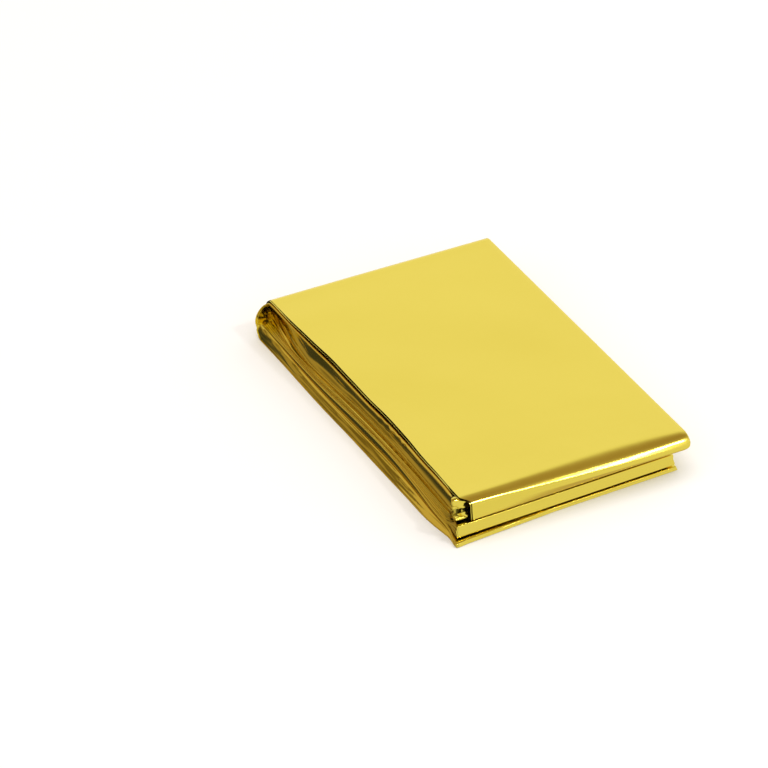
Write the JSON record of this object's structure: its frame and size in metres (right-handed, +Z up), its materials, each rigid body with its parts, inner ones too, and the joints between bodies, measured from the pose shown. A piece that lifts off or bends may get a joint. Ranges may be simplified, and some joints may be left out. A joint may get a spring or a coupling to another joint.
{
  "type": "folded emergency foil blanket",
  "caption": "Thin gold foil sheet folded back and forth into a flat oblong packet, with rounded folds at the short ends and loose layered edges along the long sides.",
  "frame": {"origin": "on the surface that the packet lies on, under the middle of its bounding box", "axes": "+Z up through the folded layers, +Y along the packet from its layered front end to its closed back fold, +X across it to the right"},
  "size_m": [0.081, 0.1312, 0.0144],
  "materials": {
    "gold_film": "mirror-bright gold metallised polyester film, very slightly creased"
  },
  "bodies": {
    "root": {"foil_blanket": "gold_film"}
  },
  "joints": []
}
